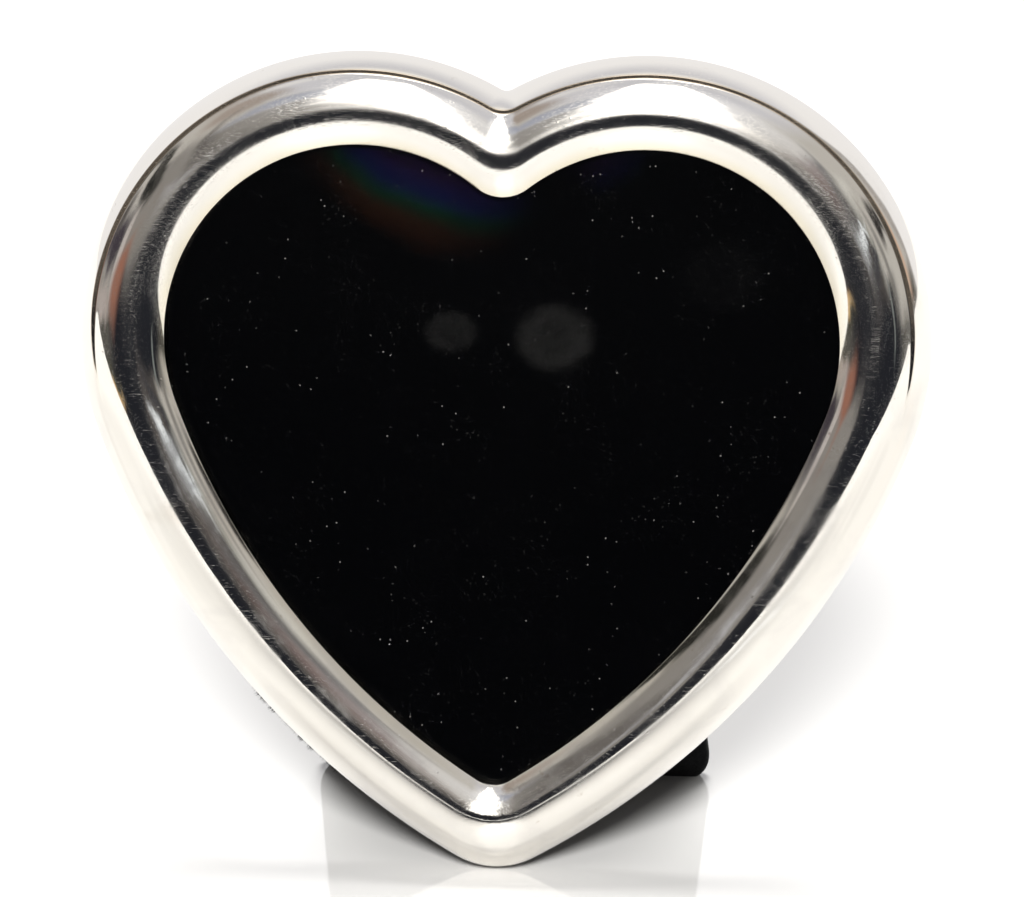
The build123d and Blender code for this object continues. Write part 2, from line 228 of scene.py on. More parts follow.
# %% Sizes of the pressing
mm = 0.001
lobe_radius = 33.7 * mm
lobe_drop = radians(20.8)
flank_radius = 133 * mm
tip_radius = 5.3 * mm
notch_radius = 7.2 * mm
rim_tip_radius = 14 * mm
ledge_notch_radius = 5 * mm
rim_notch_radius = 2 * mm
flank_narrowing = 4 * mm
crest_out, crest_height = 6.205 * mm, 2.893 * mm
crest_radius = 9.4 * mm
ledge_out = 12.8 * mm
rim_out, rim_height = 16.19 * mm, -6.921 * mm
sheet = 0.5 * mm
lobe_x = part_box("silver_front")[1].x - rim_out - lobe_radius
print("each lobe's middle is", round(lobe_x / mm, 2), "mm from the frame's middle")


# %% Arcs of the heart at any distance outside the aperture
def flank_arc(out):
    """Radius and centre of the right flank."""
    radius = flank_radius + out - flank_narrowing * out / rim_out
    reach = radius - lobe_radius - out
    return radius, lobe_x - reach * cos(lobe_drop), reach * sin(lobe_drop)


def tip_bend(out):
    return min(tip_radius + out, rim_tip_radius)


def notch_bend(out):
    if out < ledge_out:
        return notch_radius + (ledge_notch_radius - notch_radius) * out / ledge_out
    share = (out - ledge_out) / (rim_out - ledge_out)
    return ledge_notch_radius + (rim_notch_radius - ledge_notch_radius) * share


def tip_centre_y(out):
    radius, x, y = flank_arc(out)
    return y - sqrt((radius - tip_bend(out)) ** 2 - x**2)


# %% The frame's own plane
joints = {joint["name"]: joint for joint in frame["joints"]}
slide = joints["door_slide"]["axis"]
lean = atan2(-slide[2], slide[1])
tip_y = tip_centre_y(rim_out) - rim_tip_radius
front_out = crest_out + crest_radius * sin(lean)
front_height = crest_height - crest_radius * (1 - cos(lean))
front_y = tip_centre_y(front_out) - tip_bend(front_out)
plane_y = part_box("silver_front")[0].y + front_height * cos(lean) - front_y * sin(lean)
plane_z = -(tip_y * cos(lean) + rim_height * sin(lean))


def leaning_plane(angle, y, z):
    """The matrix of a plane that leans back by this angle through the point (0, y, z)."""
    rows = (
        (1, 0, 0, 0),
        (0, sin(angle), -cos(angle), y),
        (0, cos(angle), sin(angle), z),
        (0, 0, 0, 1),
    )
    return Matrix(rows)


frame_plane = leaning_plane(lean, plane_y, plane_z)
tip_contact = frame_plane @ Vector((0, tip_y, rim_height))
tip_place = round(tip_contact.y / mm, 2)
print("lean:", round(degrees(lean), 2), "degrees; the tip stands at y", tip_place, "mm")

# %% [markdown]
# ## Rings of the heart
# A pressed moulding is one curved surface. It could be a curve with a bevel, but the heart's notch
# and tip are too tight for that. It is made as a ship's hull is: one line round the heart at each
# level of the section, all with the same number of points, and then a skin across them. Spin turns
# a single point into an arc, so four spins make half a line.

# %% Half a line round the heart
arc_steps = {"notch": 14, "lobe": 96, "flank": 84, "tip": 16}


def half_line(bm, out, height):
    """Add edges from the notch round the right side to the tip, this far outside the aperture."""
    bend = notch_bend(out)
    notch_y = sqrt((lobe_radius + out + bend) ** 2 - lobe_x**2)
    notch_turn = atan2(notch_y, -lobe_x)
    radius, flank_x, flank_y = flank_arc(out)
    tip_middle = tip_centre_y(out)
    tip_turn = atan2(tip_middle - flank_y, -flank_x)
    arcs = [
        ((0, notch_y, 0), notch_turn - pi / 2, arc_steps["notch"]),
        ((lobe_x, 0, 0), -notch_turn - lobe_drop, arc_steps["lobe"]),
        ((flank_x, flank_y, 0), tip_turn + lobe_drop, arc_steps["flank"]),
        ((0, tip_middle, 0), -pi / 2 - tip_turn, arc_steps["tip"]),
    ]
    line = bmesh.new()
    point = line.verts.new((0, notch_y - bend, height))
    for centre, angle, steps in arcs:
        swept = bmesh.ops.spin(
            line, geom=[point], cent=centre, axis=(0, 0, 1), angle=angle, steps=steps
        )
        point = next(item for item in swept["geom_last"] if isinstance(item, bmesh.types.BMVert))
    point.co.x = 0
    layer = line.verts.layers.float.new("out")
    for vert in line.verts:
        vert[layer] = out / mm
    return add_mesh(bm, line)


def add_mesh(bm, other):
    """Move another bmesh into this one and return the new edges."""
    carrier = bpy.data.meshes.new("carrier")
    other.to_mesh(carrier)
    other.free()
    first = len(bm.edges)
    bm.from_mesh(carrier)
    bpy.data.meshes.remove(carrier)
    bm.edges.ensure_lookup_table()
    return bm.edges[first:]


# %% A skin across the lines
def skin(levels, capped=False):
    """A whole heart through lines at these (out, height) levels, with flat ends if it is capped."""
    bm = bmesh.new()
    before = half_line(bm, *levels[0])
    for level in levels[1:]:
        line = half_line(bm, *level)
        bmesh.ops.bridge_loops(bm, edges=before + line)
        before = line
    bmesh.ops.mirror(bm, geom=bm.verts[:] + bm.edges[:] + bm.faces[:], axis="X", merge_dist=1e-7)
    bmesh.ops.remove_doubles(bm, verts=bm.verts, dist=1e-7)
    if capped:
        rims = [edge for edge in bm.edges if edge.is_boundary]
        bmesh.ops.holes_fill(bm, edges=rims, sides=0)
    bmesh.ops.recalc_face_normals(bm, faces=bm.faces)
    bmesh.ops.transform(bm, matrix=frame_plane, verts=bm.verts)
    return bm


def walk(out, height, runs):
    """Levels along a section, from runs of (first slope, last slope, length, steps)."""
    levels = [(out, height)]
    for first, last, length, steps in runs:
        for count in range(steps):
            slope = radians(first + (last - first) * (count + 0.5) / steps)
            out += cos(slope) * length / steps
            height -= sin(slope) * length / steps
            levels.append((out, height))
    return levels


# %% A finished piece
def piece(name, bm, body, finish, replaced=(), sharp=None):
    """Make an object of the mesh, with its finish, and say what it rides on and stands for."""
    mesh = bpy.data.meshes.new(name)
    bm.to_mesh(mesh)
    bm.free()
    mesh.shade_smooth()
    if sharp:
        mesh.set_sharp_from_angle(angle=radians(sharp))
    made = bpy.data.objects.new(name, mesh)
    scene.collection.objects.link(made)
    mesh.materials.append(finish)
    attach(made, body)
    if replaced:
        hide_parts(*replaced)
    print(name, "has", len(mesh.polygons), "faces")
    return made


# %% [markdown]
# ## Silver
# Polished silver is almost a mirror: its look comes from what stands round it. What makes it
# silver and not chrome is its warmth, the haze of fine scratches that polishing leaves, the slight
# waves of a hand-finished sheet, and faint yellow-brown stains where the polish did not reach.

# %% Silver finish
def scratch_lines(coords, turn, length, width, amount):
    """A mask of thin lines that run one way; a smaller amount leaves fewer."""
    stretch = (1 / length, 1 / width, 1 / width)
    lines = noise(turned(coords, turn, stretch), 1.0, 1.0, 0.6, 0.3)
    return step(lines, 0.72 - amount, 0.76 - amount)


bright, hazy = (0.95, 0.925, 0.87), (0.92, 0.885, 0.82)
yellowed, haze_and_shade_grey, browned = (0.8, 0.73, 0.55), (0.8, 0.775, 0.74), (0.42, 0.32, 0.21)
silver_finish, silver_shader, place = material("polished_silver")
# Each point of the moulding keeps how far outside the aperture it was drawn, in millimetres.
across = place.node("Attribute", {"attribute_name": "out"}, output=2)
up = place.node("SeparateXYZ", {}, {0: place}, 2)
haze = noise(place, 55, 4.0, 0.6)
stain_places = noise(place, 38, 3.0, 0.55, 0.6)
stains = step(stain_places, 0.62, 0.8) * 0.35
flecks = step(noise(place, 420, 3.0, 0.65), 0.64, 0.74) * step(noise(place, 45, 2.0), 0.5, 0.62)
high = step(up, 80 * mm, 104 * mm)
ledge_groove = step(across, 12.15, 12.4) * (1 - step(across, 12.9, 13.2)) * high
lip_edge = (1 - step(across + stain_places * 3.2, 1.4, 4.0)) * (0.3 + high * 0.4)
tarnish = stains + flecks * 0.35 + ledge_groove * 0.8
long_lines = scratch_lines(place, (0.2, 0.5, 0.9), 9 * mm, 0.16 * mm, 0.0)
cross_lines = scratch_lines(place, (0.7, -0.4, -0.6), 5 * mm, 0.07 * mm, 0.0)
short_lines = scratch_lines(place, (1.1, 0.9, 0.3), 2 * mm, 0.05 * mm, 0.0)
rubbed = scratch_lines(place, (0.1, 0.75, 0.2), 1.8 * mm, 0.08 * mm, 0.1) * high
lines = long_lines + cross_lines + short_lines + rubbed * step(noise(place, 60, 2.0), 0.42, 0.58)
dots = place.node("TexVoronoi", {"feature": "F1"}, {"Vector": place, "Scale": 430.0})
pits = (1 - step(dots, 0.04, 0.1)) * step(noise(place, 150, 2.0), 0.5, 0.58)
waves = bump(noise(place, 70, 1.5, 0.4), 0.05 * mm)
dimples = bump(noise(place, 190, 1.0, 0.5), 0.009 * mm, normal=waves)
from_middle = abs(place.node("SeparateXYZ", {}, {0: place}))
inner_tip = band(up, 12 * mm, 20 * mm, 3 * mm) * (1 - step(from_middle, 2 * mm, 8 * mm))
dents = bump(noise(place, 620, 2.0, 0.6) * inner_tip, 0.03 * mm, normal=dimples)
ripples = bump(noise(place, 480, 2.0, 0.5), 0.0025 * mm, normal=dents)
clean = mix(haze, bright, hazy)
clean = mix(lip_edge, clean, yellowed)
# Below the lobes grey clouds mottle and roughen the silver: a haze on the metal, and also a painted
# shade that stands for the shadowed table reflected there.
low_haze_and_shade = step(noise(place, 95, 5.0, 0.65, 0.4), 0.42, 0.7) * (1 - high)
clean = mix(low_haze_and_shade * 0.5, clean, haze_and_shade_grey)
crest = band(across, 3.4, 8.0, 2.0)
dull = step(haze, 0.35, 0.75) * 0.045 + high * 0.015 + crest * (0.02 + high * 0.05)
plug(
    silver_shader,
    Base_Color=mix(tarnish, clean, browned),
    Metallic=1.0,
    Roughness=0.022 + dull + low_haze_and_shade * 0.1 + tarnish * 0.2 + lines * 0.06,
    Normal=bump(pits, 0.012 * mm, normal=bump(lines, 0.0022 * mm, normal=ripples)),
)

# %% [markdown]
# ## The silver moulding
# On the real frame this is one sheet pressed over a steel form: a lip that slopes down to the
# glass, a round crest, a long shoulder, a fine ledge where the skirt begins, and a rim folded in
# behind. The section is walked as runs, each turning from one slope to another over its length, and
# every level gets its line round the heart. The ledge is crisp round the lobes and dies away down
# the flanks, so the sheet is made twice, with and without it, and each point is placed between the
# two by its height. Solidify then gives the sheet its half millimetre.

# %% Press the sheet
lip_and_crest = [(-88, -88, 0.5 * mm, 1), (-88, -42, 0.15 * mm, 4), (-42, 0, 6.66 * mm, 14)]
fold = [(78.4, 180, 0.88 * mm, 8), (180, 180, 1.9 * mm, 1)]
ledged_runs = [
    (0, 41, 6.485 * mm, 17),
    (41, -5, 0.42 * mm, 5),
    (-5, -5, 0.38 * mm, 1),
    (-5, 54, 0.2 * mm, 5),
    (54, 78.4, 7.547 * mm, 14),
]
plain_runs = [
    (0, 44, 6.696 * mm, 17),
    (44, 45, 0.3 * mm, 5),
    (45, 45, 0.2 * mm, 1),
    (45, 46, 0.3 * mm, 5),
    (46, 78.4, 7.144 * mm, 14),
]
ledged_levels = walk(0, -0.1 * mm, lip_and_crest + ledged_runs + fold)
plain_levels = walk(0, -0.1 * mm, lip_and_crest + plain_runs + fold)
widest = max(out for out, height in ledged_levels)
print("rim:", round(widest / mm, 2), "mm out,", round(ledged_levels[-1][1] / mm, 2), "mm high")

# %% Fade the ledge out below the lobes
silver_mesh = skin(ledged_levels)
plain_mesh = skin(plain_levels)
fade_low, fade_high = 80 * mm, 100 * mm
for vert, plain in zip(silver_mesh.verts, plain_mesh.verts):
    share = min(max((vert.co.z - fade_low) / (fade_high - fade_low), 0), 1)
    vert.co = plain.co.lerp(vert.co, share)
plain_mesh.free()
bmesh.ops.solidify(silver_mesh, geom=silver_mesh.faces[:], thickness=sheet)
piece(
    "silver_moulding", silver_mesh, "frame", silver_finish, ["silver_front"]
)

# %% [markdown]
# ## Glass over a black card
# Behind the moulding lies a pane of glass with a dull black card pressed against it. The pane is a
# plate with its edges taken off. A narrow flat border inside each edge keeps the smooth shading of
# the edge from spreading over the face. Dust, a few wiped smudges and a faint oily film are mixed
# over the clear glass; the rainbow that the film reflects is painted into it as colour.

# %% Plates that fill the rebate
plate_out = 4.6 * mm
glass_front, glass_thickness = -1.0 * mm, 1.5 * mm
card_front, card_thickness = -2.55 * mm, 0.4 * mm


def plate(front, thickness, edge=0.15 * mm, border=0.6 * mm):
    """A flat heart from this height back, its edges rounded over."""
    out, back = plate_out, front - thickness
    levels = [(out - border, front), (out - edge, front), (out - 0.3 * edge, front - 0.3 * edge)]
    levels += [(out, front - edge), (out, back + edge), (out - 0.3 * edge, back + 0.3 * edge)]
    levels += [(out - edge, back), (out - border, back)]
    return skin(levels, capped=True)


# %% Glass finish
glass_finish, glass_shader, place = material("dusty_glass_with_painted_rainbow")
plug(glass_shader, Base_Color=(1.0, 1.0, 1.0), Roughness=0.01, IOR=1.38, Transmission_Weight=1.0)


def soft_spot(coords, centre, size, edge_low, edge_high, wobble):
    """A mask round a place: 1 inside edge_low and 0 beyond edge_high, in units of size."""
    spot = turned(coords, stretch=tuple(1 / side for side in size), place=centre)
    distance = spot.node("VectorMath", {"operation": "LENGTH"}, {0: spot}, 1)
    distance = distance + (noise(coords, 90, 3.0, 0.6) - 0.5) * wobble
    return 1 - step(distance, edge_low, edge_high)


def on_frame(x, y):
    """A place given on the frame's own plane, in millimetres."""
    return tuple(frame_plane @ Vector((x * mm, y * mm, 0)))


specks = place.node("TexVoronoi", {"feature": "F1"}, {"Vector": place, "Scale": 480.0})
far_specks = place.node("TexVoronoi", {"feature": "F1"}, {"Vector": place, "Scale": 900.0})
clusters = step(noise(place, 120, 3.0, 0.6), 0.45, 0.75)
dust = (1 - step(specks, 0.04, 0.09)) * step(noise(place, 260, 2.0), 0.46, 0.54)
fine_dust = (1 - step(far_specks, 0.1, 0.22)) * clusters
grains = step(noise(place, 700, 2.0, 0.7), 0.35, 0.65)


def fingerprint(x, y, wide, tall, hollow):
    """An oval smudge on the glass, mottled, and fainter in its middle."""
    size = (wide * mm, 30 * mm, tall * mm)
    whole = soft_spot(place, on_frame(x, y), size, 0.55, 1.1, 0.35)
    middle = soft_spot(place, on_frame(x, y), size, 0.1, 0.75, 0.5)
    return whole * (1 - middle * hollow) * (0.45 + grains * 0.55)


smudges = fingerprint(9.3, 0.6, 7.4, 6.2, 0.45) + fingerprint(-8.6, 1.1, 5.0, 3.9, 0.3) * 0.7
smudges = smudges + fingerprint(38.5, 12.0, 8.0, 6.5, 0.2) * 0.12
grime_and_rainbow = dust * 0.3 + fine_dust * 0.03 + smudges * 0.014 + 0.0001

# %% Oily film, with its rainbow painted as colour
film_spot = turned(place, stretch=(1 / mm, 1 / mm, 1 / mm), place=on_frame(-1.0, 58.5))
film_reach = film_spot.node("VectorMath", {"operation": "LENGTH"}, {0: film_spot}, 1)
film_reach = film_reach + (noise(place, 40, 2.0) - 0.5) * 9
# The film's rainbow is a reflection, painted here as a fixed colour in rings round one place.
rainbow_stops = [
    (0.0, (0.0, 0.0, 0.0)),
    (0.25, (0.25, 0.12, 0.5)),
    (0.45, (0.1, 0.16, 1.0)),
    (0.6, (0.05, 0.5, 0.25)),
    (0.75, (0.45, 0.16, 0.06)),
    (1.0, (0.0, 0.0, 0.0)),
]
film_place = film_reach.node("MapRange", {}, {0: film_reach, 1: 28.0, 2: 46.0, 3: 0.0, 4: 1.0})
painted_rainbow_colour = film_place.node("ValToRGB", {"stops": rainbow_stops}, {0: film_place})
film = soft_spot(place, on_frame(-16, 26), (22 * mm, 30 * mm, 16 * mm), 0.3, 1.1, 0.5)
film = film + soft_spot(place, on_frame(17, 36), (10 * mm, 30 * mm, 10 * mm), 0.2, 1.1, 0.5) * 0.6
rainbow_share = film * 0.011
grime_and_rainbow_colour = mix(rainbow_share / (grime_and_rainbow + rainbow_share), (0.55, 0.54, 0.52), painted_rainbow_colour)
grime_and_rainbow = grime_and_rainbow + rainbow_share

# %% Dust, smudges and the painted rainbow over the clear glass
grime_and_rainbow_shader = grime_and_rainbow.node("BsdfDiffuse", {}, {"Color": grime_and_rainbow_colour})
glass_output = glass_finish.node_tree.nodes["Material Output"]
dust_and_rainbow_mix = grime_and_rainbow.node(
    "MixShader",
    {},
    {0: grime_and_rainbow, 1: Wire(grime_and_rainbow.tree, glass_shader.outputs[0]), 2: grime_and_rainbow_shader},
)
grime_and_rainbow.tree.links.new(dust_and_rainbow_mix.socket, glass_output.inputs["Surface"])

piece(
    "glass_sheet",
    plate(glass_front, glass_thickness),
    "frame",
    glass_finish,
    ["glass_pane"],
)

# %% Black card
card_finish, card_shader, place = material("black_card_paper")
plug(
    card_shader,
    Base_Color=mix(noise(place, 900, 3.0), (0.0002, 0.0002, 0.0002), (0.0004, 0.0004, 0.0005)),
    Roughness=0.9,
    Specular_IOR_Level=0.0,
    Normal=bump(noise(place, 2500, 3.0), 0.02 * mm, 0.4),
)
piece(
    "card_sheet",
    plate(card_front, card_thickness, edge=0.05 * mm),
    "frame",
    card_finish,
    ["insert_card"],
)

# %% [markdown]
# ## Boards
# The packing and the ring behind the silver are grey board, the door and the strut brown. They are
# hardly seen, so the model's own solids stay, and get a board's fibres.

# %% Board finish
def board_finish(name, light, dark):
    made, shader, place = material(name)
    fibres = noise(turned(place, stretch=(500, 900, 500)), 1.0, 4.0, 0.65)
    plug(
        shader,
        Base_Color=mix(step(fibres, 0.35, 0.7), dark, light),
        Roughness=0.9,
        Normal=bump(fibres, 0.05 * mm, 0.5),
    )
    return made


def refinish(node, finish):
    """Give a node of the model this finish, whatever slots it has."""
    mesh = frame["nodes"][node].data
    mesh.materials.clear()
    mesh.materials.append(finish)
    print(node, "gets", finish.name)


grey_board = board_finish("grey_board", (0.3, 0.28, 0.25), (0.2, 0.185, 0.165))
brown_board = board_finish("brown_board", (0.27, 0.2, 0.13), (0.17, 0.12, 0.075))
for node in ("backing_ring", "packing_board"):
    refinish(node, grey_board)
for node in ("back_board", "strut_board"):
    refinish(node, brown_board)

# %% [markdown]
# ## Velvet
# Velvet is a short, dense pile on a woven ground. Seen straight on it is nearly black, because
# light falls between the hairs, and along its edges the hairs catch light, which the sheen gives.
# Where a finger has brushed it, the pile lies over and looks lighter, so a broad noise, streaks and
# tufts vary its colour. The single hairs are a fine noise in the colour and in the bump.

# %% Velvet finish
def velvet_finish(name, deep, brushed):
    made, shader, place = material(name)
    nap = noise(place, 70, 2.0, 0.5, 0.3)
    streaks = noise(turned(place, (0, 0.3, 0), (500, 500, 60)), 1.0, 3.0, 0.6)
    hairs = noise(place, 4200, 2.0, 0.7)
    tufts = noise(place, 1300, 3.0, 0.7)
    lying = step(nap * 0.45 + streaks * 0.25 + tufts * 0.3, 0.38, 0.66)
    plug(
        shader,
        Base_Color=mix(hairs * lying, deep, brushed),
        Roughness=0.95,
        Sheen_Weight=0.35,
        Sheen_Roughness=0.45,
        Sheen_Tint=(0.75, 0.8, 0.78),
        Specular_IOR_Level=0.15,
        Normal=bump(hairs, 0.12 * mm, 0.7, bump(tufts, 0.18 * mm, 0.5)),
    )
    return made


black_velvet = velvet_finish("black_velvet_pile", (0.003, 0.0032, 0.0035), (0.045, 0.045, 0.047))


# %% [markdown]
# ## Velvet on the back
# One strip covers the back of the backing up to the rebate, and a heart of the same cloth covers
# the door. Glued velvet keeps a soft round edge. Both are thin closed shells, drawn as sections
# like the silver.

# %% Velvet round the back of the rim
rim_cloth = 0.7 * mm
rim_back = rim_height - rim_cloth
rim_cover_levels = [
    (5.0 * mm, rim_height + 0.05 * mm),
    (5.0 * mm, rim_back + 0.25 * mm),
    (5.08 * mm, rim_back + 0.08 * mm),
    (5.3 * mm, rim_back),
    (7.5 * mm, rim_back),
    (10.0 * mm, rim_back),
    (12.5 * mm, rim_back),
    (15.2 * mm, rim_back),
    (15.5 * mm, rim_back + 0.08 * mm),
    (15.66 * mm, rim_back + 0.28 * mm),
    (15.69 * mm, rim_height),
    (14.2 * mm, rim_height),
    (13.2 * mm, rim_height + 0.05 * mm),
    (9.0 * mm, rim_height + 0.05 * mm),
    (5.0 * mm, rim_height + 0.05 * mm),
]
rim_cover = piece(
    "rim_cover", skin(rim_cover_levels), "frame", black_velvet, ["rim_velvet"], 50
)

# %% Velvet on the door
door_back, door_cloth = -7.5 * mm, 0.6 * mm
door_cover = piece(
    "door_cover",
    plate(door_back + door_cloth, door_cloth, edge=0.25 * mm, border=1.2 * mm),
    "back_door",
    black_velvet,
    ["back_velvet"],
)

# %% [markdown]
# ## The strut
# The strut is a board sewn into a sleeve of velvet, wide at the foot and cut level with the table.
# The sleeve starts as its outline, a single face. Bevelling the corner points rounds them,
# extruding gives the thickness, bevelling the long edges softens them, and a cut along the table
# trims the foot. Solidify then turns the outside into cloth, hollow inside, where the board lies.

# %% Outline of the sleeve
hinge = joints["strut_hinge"]
open_angle = radians(hinge["range_deg"][1])
strut_tilt = open_angle - lean
strut_plane = leaning_plane(-strut_tilt, hinge["pos_m"][1], hinge["pos_m"][2])
strut_back, strut_front = -1.36 * mm, 1.54 * mm
strut_top_y = -2.26 * mm
foot_spare = 1.2 * mm
strut_foot_y = -hinge["pos_m"][2] / cos(strut_tilt) - foot_spare
half_top, half_foot = 28 * mm, 37.4 * mm
top_corner, foot_corner, edge_radius = 1.0 * mm, 6.5 * mm, 0.9 * mm
sleeve_cloth, clearance = 0.35 * mm, 0.05 * mm


def soften(bm, geom, radius, segments, affect):
    """Round points or edges of a mesh over."""
    bmesh.ops.bevel(
        bm,
        geom=geom,
        offset=radius,
        offset_type="OFFSET",
        segments=segments,
        profile=0.5,
        affect=affect,
        material=-1,
    )


sleeve_mesh = bmesh.new()
corner_places = [
    (-half_top, strut_top_y),
    (half_top, strut_top_y),
    (half_foot, strut_foot_y),
    (-half_foot, strut_foot_y),
]
corners = [sleeve_mesh.verts.new((x, y, strut_back)) for x, y in corner_places]
sleeve_mesh.faces.new(corners)
soften(sleeve_mesh, corners[2:], foot_corner, 10, "VERTICES")
soften(sleeve_mesh, corners[:2], top_corner, 3, "VERTICES")
thick = strut_front - clearance - strut_back
extruded = bmesh.ops.extrude_face_region(sleeve_mesh, geom=sleeve_mesh.faces[:])
top_points = [item for item in extruded["geom"] if isinstance(item, bmesh.types.BMVert)]
bmesh.ops.translate(sleeve_mesh, vec=(0, 0, thick), verts=top_points)
bmesh.ops.recalc_face_normals(sleeve_mesh, faces=sleeve_mesh.faces)
long_edges = [
    edge for edge in sleeve_mesh.edges if abs(edge.verts[0].co.z - edge.verts[1].co.z) < 1e-6
]
soften(sleeve_mesh, long_edges, edge_radius, 4, "EDGES")
print("sleeve:", len(sleeve_mesh.faces), "faces before its trim")

# %% Trim and hollow the sleeve
bmesh.ops.transform(sleeve_mesh, matrix=strut_plane, verts=sleeve_mesh.verts)
everything = sleeve_mesh.verts[:] + sleeve_mesh.edges[:] + sleeve_mesh.faces[:]
cut = bmesh.ops.bisect_plane(
    sleeve_mesh, geom=everything, plane_co=(0, 0, 0), plane_no=(0, 0, 1), clear_inner=True
)
foot_edges = [item for item in cut["geom_cut"] if isinstance(item, bmesh.types.BMEdge)]
bmesh.ops.holes_fill(sleeve_mesh, edges=foot_edges, sides=0)
many_sided = [face for face in sleeve_mesh.faces if len(face.verts) > 4]
bmesh.ops.triangulate(sleeve_mesh, faces=many_sided)
bmesh.ops.recalc_face_normals(sleeve_mesh, faces=sleeve_mesh.faces)
bmesh.ops.solidify(sleeve_mesh, geom=sleeve_mesh.faces[:], thickness=sleeve_cloth)
sleeve = piece(
    "strut_sleeve", sleeve_mesh, "strut", black_velvet, ["strut_velvet"], 50
)

# %% [markdown]
# ## Loose pile
# Where velvet is cut, hairs stand out past the edge and blur it. Each is a thin three-sided spike,
# so that two thousand of them stay light. They follow the lower left edge of the rim, where they
# show past the silver, and the sides of the strut.

# %% One hair
random.seed(7)
hair_width = 0.03 * mm
rim_hairs, strut_hairs = 1300, 900


def hair(bm, root, tip):
    """A three-sided spike from root to tip."""
    spike = bmesh.ops.create_cone(
        bm, cap_ends=False, segments=3, radius1=hair_width, radius2=hair_width * 0.15, depth=1.0
    )
    along = tip - root
    turn = along.to_track_quat("Z", "Y").to_matrix().to_4x4()
    size = Matrix.Diagonal((1, 1, along.length, 1))
    middle = Matrix.Translation((root + tip) / 2)
    bmesh.ops.transform(bm, matrix=middle @ turn @ size, verts=spike["verts"])


def spread(amount):
    return Vector([random.uniform(-amount, amount) for side in range(3)])


# %% Hairs along the rim
rim_pile_mesh = bmesh.new()
guide = bmesh.new()
pile_out, pile_height = 15.55 * mm, rim_back + 0.25 * mm
half_line(guide, pile_out, pile_height)
bmesh.ops.transform(guide, matrix=frame_plane @ Matrix.Diagonal((-1, 1, 1, 1)), verts=guide.verts)
guide.verts.ensure_lookup_table()
rim_places = [vert.co.copy() for vert in guide.verts]
guide.free()
outwards = frame_plane.to_3x3() @ Vector((-0.85, -0.5, -0.25))
backwards = frame_plane.to_3x3() @ Vector((0, 0, -1))
low_places = [
    index for index, point in enumerate(rim_places) if 0.013 < point.z < 0.031 and point.x < -0.01
]
clumps = random.sample(low_places, 6)
for count in range(rim_hairs):
    index = random.choice(low_places)
    reach = random.uniform(0.5, 1.0) * mm
    if count % 4 == 0:
        index = random.choice(clumps)
        reach = random.uniform(0.8, 1.4) * mm
    nearest = rim_places[index]
    place_on_rim = nearest.lerp(rim_places[min(index + 1, len(rim_places) - 1)], random.random())
    root = place_on_rim - backwards * random.uniform(0, 0.25) * mm
    away = outwards * reach + spread(0.35 * mm)
    tip = root + away - backwards * max(away.dot(backwards), 0)
    hair(rim_pile_mesh, root, tip)
piece("rim_pile", rim_pile_mesh, "frame", black_velvet)

# %% Hairs along the strut
strut_pile_mesh = bmesh.new()
root_foot, root_top = 37.0 * mm, 27.8 * mm
rounding = 7.5 * mm
for count in range(strut_hairs):
    side = random.choice((-1, 1))
    share = random.random() ** 0.7
    foot_gap = 1.0 * mm + 84 * mm * (1 - share)
    y = strut_foot_y + foot_gap
    wide = root_foot + (root_top - root_foot) * (y - strut_foot_y) / (strut_top_y - strut_foot_y)
    if foot_gap < rounding:
        wide -= (rounding - foot_gap) ** 2 / (10 * mm)
    depth = random.uniform(-0.9, 1.1) * mm
    root = strut_plane @ Vector((side * (wide - 0.15 * mm), y, depth))
    away = Vector((side, 0, 0.15)) * random.uniform(0.2, 0.75) * mm
    tip = root + away + spread(0.2 * mm)
    root.z, tip.z = max(root.z, 0.15 * mm), max(tip.z, 0.1 * mm)
    hair(strut_pile_mesh, root, tip)
piece("strut_pile", strut_pile_mesh, "strut", black_velvet)

# %% [markdown]
# ## Brass
# The hinge, its rivets and pin, and the buttons that hold the door are plain brass with years of
# handling: warm yellow where it is rubbed, brown in patches, with fine lines across the frame.

# %% Brass finish
def brass_finish(name, bright, dull, polish):
    made, shader, place = material(name)
    patches = noise(place, 210, 4.0, 0.6, 0.5)
    grain = noise(turned(place, stretch=(300, 4000, 4000)), 1.0, 3.0, 0.6)
    tarnish = step(patches, 0.38, 0.72)
    plug(
        shader,
        Base_Color=mix(tarnish, bright, dull),
        Metallic=1.0,
        Roughness=polish + tarnish * 0.18 + grain * 0.1,
        Normal=bump(grain, 0.004 * mm, 0.8, bump(patches, 0.02 * mm, 0.6)),
    )
    return made


hinge_brass = brass_finish("hinge_leaf_brass", (0.72, 0.52, 0.25), (0.4, 0.27, 0.12), 0.22)
button_brass = brass_finish("turn_button_brass", (0.76, 0.56, 0.27), (0.45, 0.3, 0.13), 0.2)
pin_brass = brass_finish("pin_and_rivet_brass", (0.78, 0.6, 0.32), (0.5, 0.35, 0.17), 0.16)
for node in ("hinge_door_leaf", "hinge_strut_leaf"):
    refinish(node, hinge_brass)
for node in ("hinge_door_rivets", "hinge_strut_rivets", "hinge_pin", "turn_button_screws"):
    refinish(node, pin_brass)
for node in sorted(frame["nodes"]):
    if node.startswith("turn_button") and not node.endswith("screws"):
        refinish(node, button_brass)

# %% [markdown]
# ## Camera
# The photograph was taken from a little to the right of the frame and above it, with a long lens.

